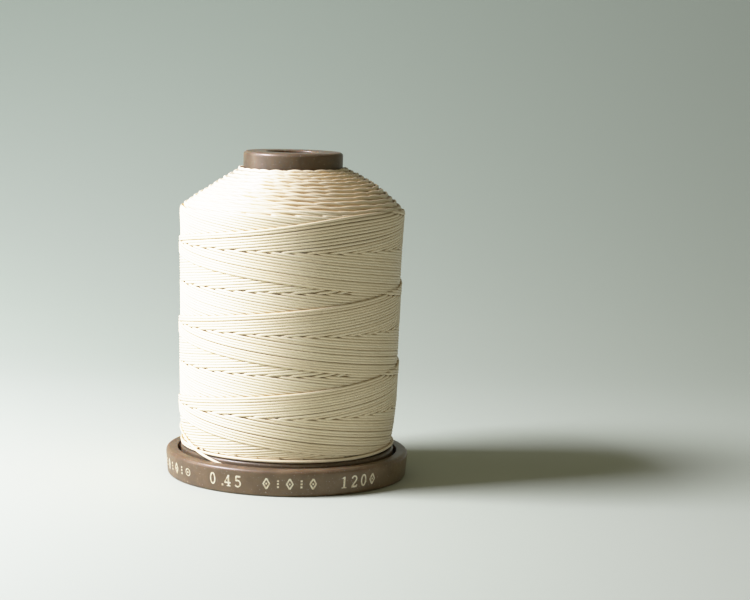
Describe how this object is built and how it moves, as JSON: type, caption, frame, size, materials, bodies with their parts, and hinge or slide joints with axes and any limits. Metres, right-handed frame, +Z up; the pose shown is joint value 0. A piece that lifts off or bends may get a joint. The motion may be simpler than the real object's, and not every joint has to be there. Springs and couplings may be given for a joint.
{
  "type": "thread spool",
  "caption": "Cylindrical snap-base spool of cross-wound waxed thread, with a conical top, a central bore and a loose thread end tucked into the base groove.",
  "frame": {"origin": "centre of the face the base stands on", "axes": "+Z up along the spool's axis; the loose thread end is tucked in at the front left, front being -Y"},
  "size_m": [0.04, 0.04, 0.0533],
  "materials": {
    "brown_plastic": "satin moulded brown plastic, slightly translucent",
    "thread": "cream waxed thread with a soft sheen",
    "print_foil": "hot-stamped champagne foil print"
  },
  "bodies": {
    "base": {"snap_base": "brown_plastic"},
    "spool": {"core": "brown_plastic", "thread_package": "thread", "thread_tail": "thread"}
  },
  "joints": [
    {"name": "snap_open", "type": "slide", "parent": "base", "child": "spool", "axis": [0, 0, 1], "range_m": [0, 0.003]}
  ]
}
